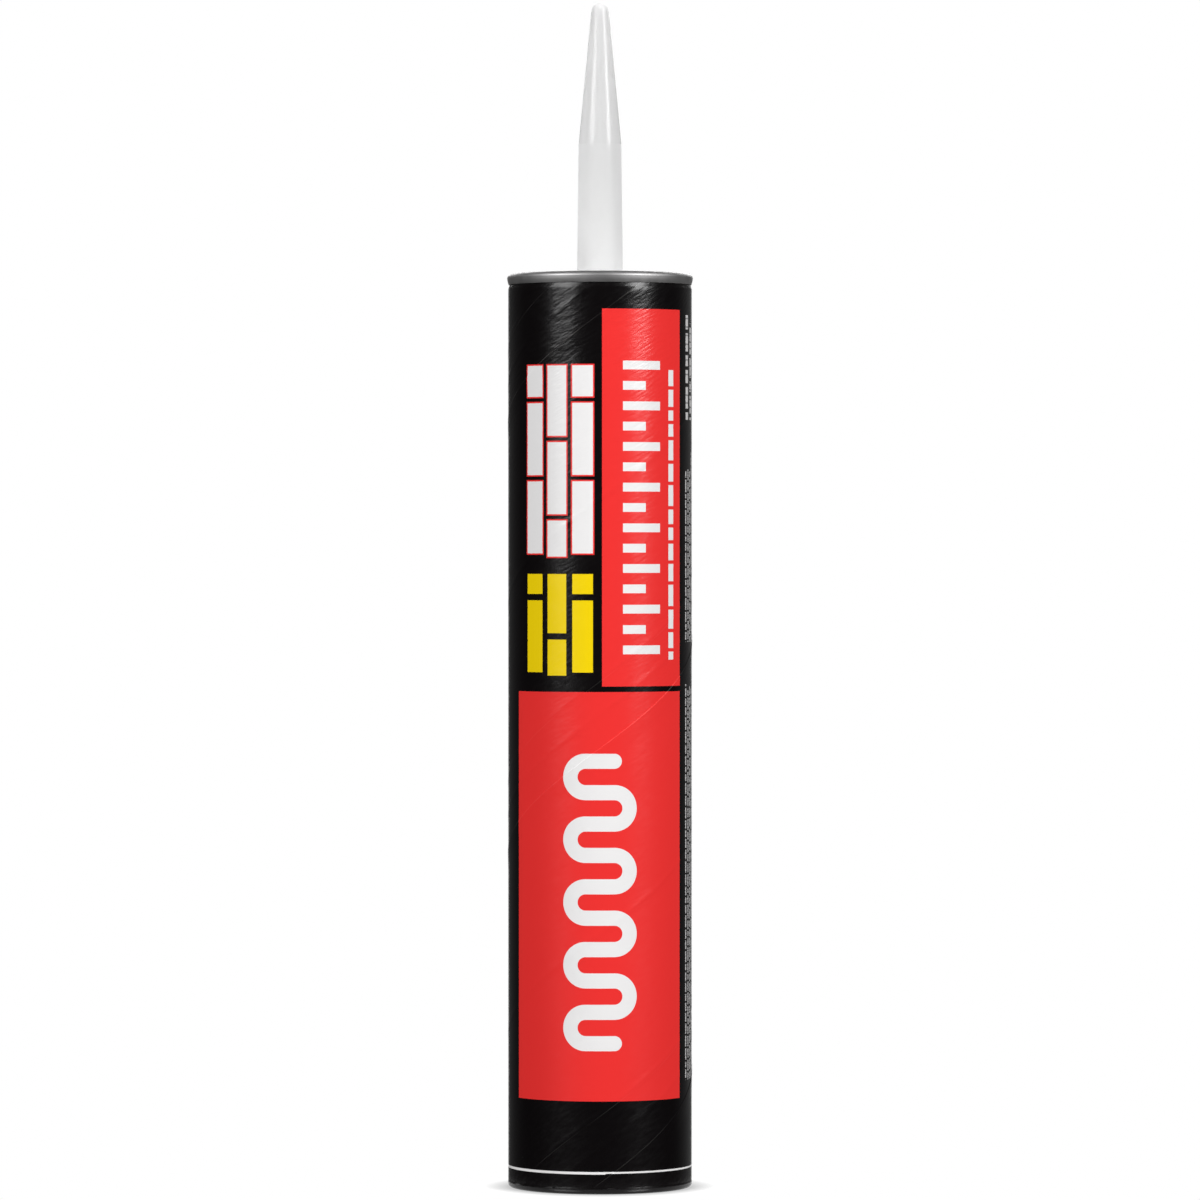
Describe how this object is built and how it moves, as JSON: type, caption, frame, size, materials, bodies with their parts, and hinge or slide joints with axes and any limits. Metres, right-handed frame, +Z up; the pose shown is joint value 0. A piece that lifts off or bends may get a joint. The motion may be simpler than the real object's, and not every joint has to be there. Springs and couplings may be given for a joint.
{
  "type": "adhesive cartridge",
  "caption": "Wound fibre adhesive cartridge with a rolled rear edge, a crimped tinplate end, a tapered closed nozzle and a plunger that slides up the bore to push out the paste.",
  "frame": {"origin": "centre of the rolled rear edge, on the plane that the cartridge stands on", "axes": "+Z up the cartridge's axis, from the rear edge to the nozzle's tip; -Y is the printed front"},
  "size_m": [0.0646, 0.0646, 0.4125],
  "materials": {
    "printed_fibre_board": "black and red printed paper with a satin varnish over wound fibre board",
    "tinplate": "bare pressed tinplate, dull bright",
    "nozzle_polyethylene": "white moulded polyethylene, slightly translucent",
    "foil": "plain foil",
    "paste": "tan synthetic rubber paste",
    "plunger_polyethylene": "natural moulded polyethylene"
  },
  "bodies": {
    "cartridge": {"tube": "printed_fibre_board", "tinplate_end": "tinplate", "nozzle": "nozzle_polyethylene", "foil_seal": "foil", "adhesive": "paste"},
    "plunger": {"plunger": "plunger_polyethylene"}
  },
  "joints": [
    {"name": "plunger_slide", "type": "slide", "parent": "cartridge", "child": "plunger", "axis": [0, 0, 1], "range_m": [0, 0.2832], "deforming": ["adhesive"]}
  ]
}
